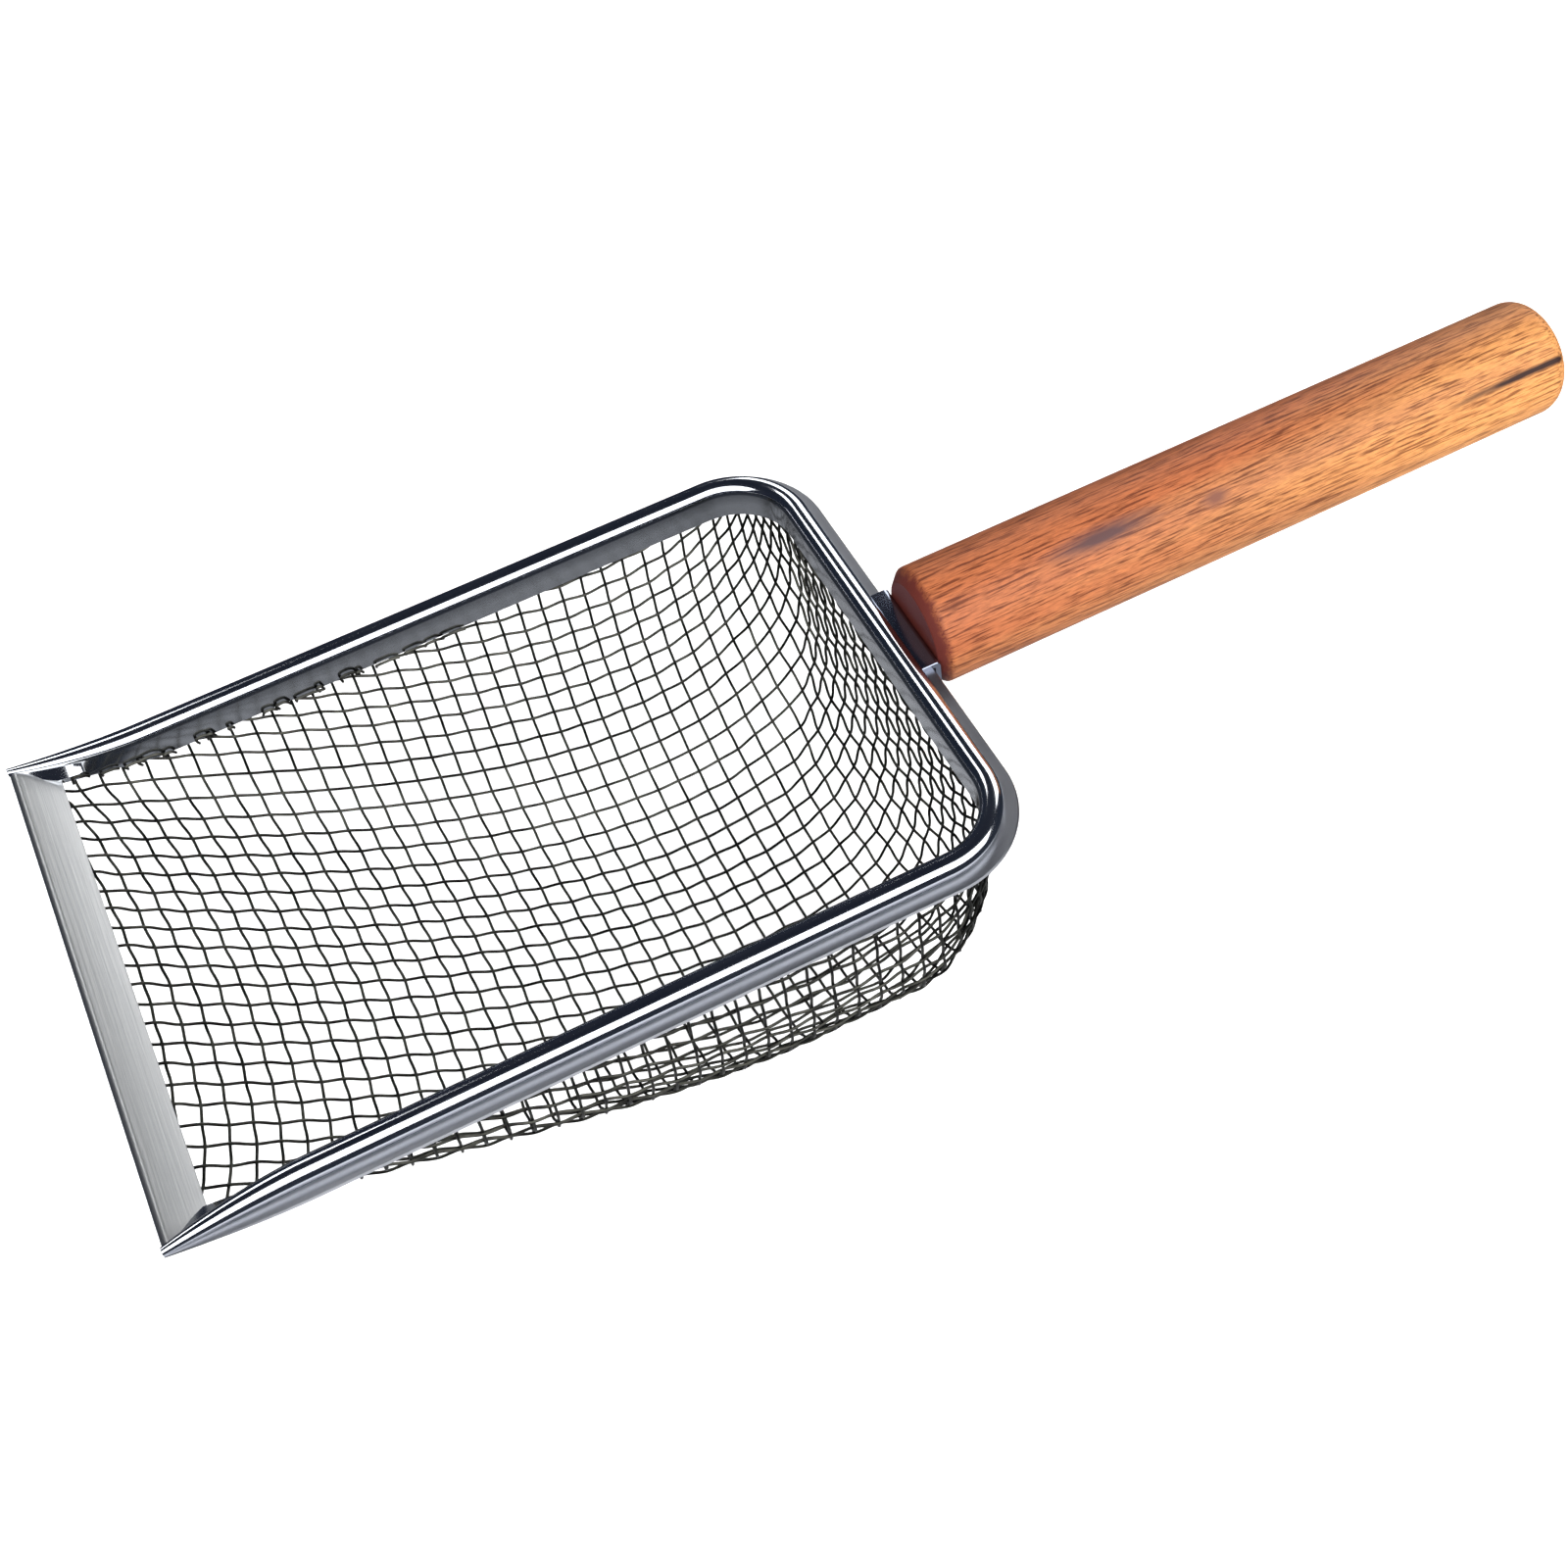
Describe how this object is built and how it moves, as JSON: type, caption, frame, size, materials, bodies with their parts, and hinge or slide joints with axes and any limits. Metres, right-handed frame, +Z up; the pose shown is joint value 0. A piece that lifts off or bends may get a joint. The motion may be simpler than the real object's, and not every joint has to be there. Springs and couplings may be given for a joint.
{
  "type": "hand sand scoop",
  "caption": "Hand sand scoop: rounded woven wire basket in a rolled steel rim, folded lip plate across the open front, round wooden handle behind.",
  "frame": {"origin": "under the middle of the whole scoop, level with the lowest wires of the basket", "axes": "+X along the scoop from the lip plate to the free end of the handle, +Y across it, +Z up out of the open basket"},
  "size_m": [0.3292, 0.1224, 0.0794],
  "materials": {
    "wire_cloth": "drawn stainless wire, dull",
    "rim_steel": "polished stainless",
    "core_wire": "plain drawn wire",
    "lip_steel": "satin stainless",
    "bracket_steel": "polished stainless",
    "screw_steel": "satin stainless",
    "handle_wood": "oiled red-brown hardwood"
  },
  "bodies": {
    "root": {"mesh_basket": "wire_cloth", "rim_channel": "rim_steel", "rim_core_wire": "core_wire", "lip_plate": "lip_steel", "handle_bracket": "bracket_steel", "handle_screws": "screw_steel", "handle": "handle_wood"}
  },
  "joints": []
}
